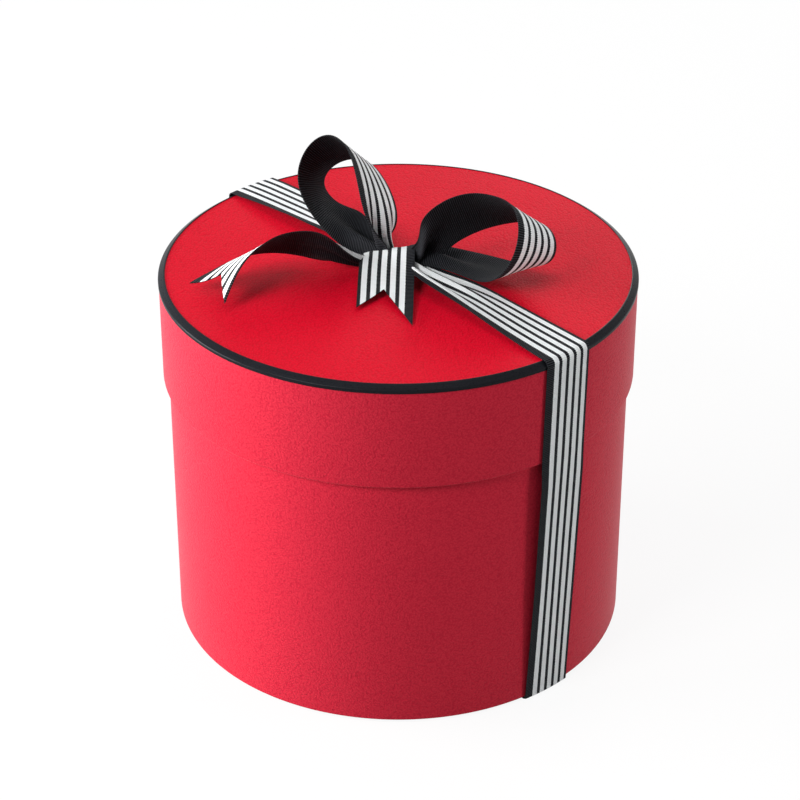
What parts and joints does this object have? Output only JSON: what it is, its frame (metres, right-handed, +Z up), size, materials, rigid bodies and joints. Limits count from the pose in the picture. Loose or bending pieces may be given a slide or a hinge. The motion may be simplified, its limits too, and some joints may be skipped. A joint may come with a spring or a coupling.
{
  "type": "cylindrical gift tube box",
  "caption": "Round paper-covered gift box with a deep telescoping lift-off lid, tied with a striped ribbon and a bow.",
  "frame": {"origin": "on the box's vertical axis, at the level it stands on, under the ribbon", "axes": "+Z up, -Y towards the viewer of the picture, +X to the viewer's right"},
  "size_m": [0.22, 0.22, 0.2318],
  "materials": {
    "red_paper": "satin, fine pebbled grain",
    "black_binding": "semi-gloss",
    "grey_board": "matt",
    "liner_paper": "matt",
    "base_paper": "satin",
    "striped_ribbon": "woven grosgrain, black with white lengthwise stripes"
  },
  "bodies": {
    "base": {"body_tube": "grey_board", "body_base_board": "grey_board", "body_wrap": "red_paper", "body_base_paper": "base_paper", "body_floor_liner": "liner_paper", "body_wall_liner": "liner_paper"},
    "lid": {"lid_rim_band": "grey_board", "lid_top_board": "grey_board", "lid_top_cover": "red_paper", "lid_rim_wrap": "red_paper", "lid_edge_binding": "black_binding", "lid_ceiling_liner": "liner_paper", "lid_rim_liner": "liner_paper"},
    "ribbon": {"ribbon_knot": "striped_ribbon", "ribbon_band_left": "striped_ribbon", "ribbon_band_right": "striped_ribbon", "ribbon_drop_left": "striped_ribbon", "ribbon_drop_right": "striped_ribbon", "bow_loop_left": "striped_ribbon", "bow_loop_right": "striped_ribbon", "bow_tail_left": "striped_ribbon", "bow_tail_front": "striped_ribbon"},
    "ribbon_under": {"ribbon_underside": "striped_ribbon"}
  },
  "joints": [
    {"name": "lid_lift", "type": "slide", "parent": "base", "child": "lid", "axis": [0, 0, 1], "range_m": [0, 0.2]},
    {"name": "ribbon_slip", "type": "slide", "parent": "lid", "child": "ribbon", "axis": [0.7431, 0.6691, 0], "range_m": [-0.125, 0.125]},
    {"name": "ribbon_under_slip", "type": "slide", "parent": "base", "child": "ribbon_under", "axis": [0.7431, 0.6691, 0], "range_m": [-0.125, 0.125]}
  ],
  "couplings": [
    {"joint": "ribbon_under_slip", "follows": "ribbon_slip", "ratio": 1}
  ]
}
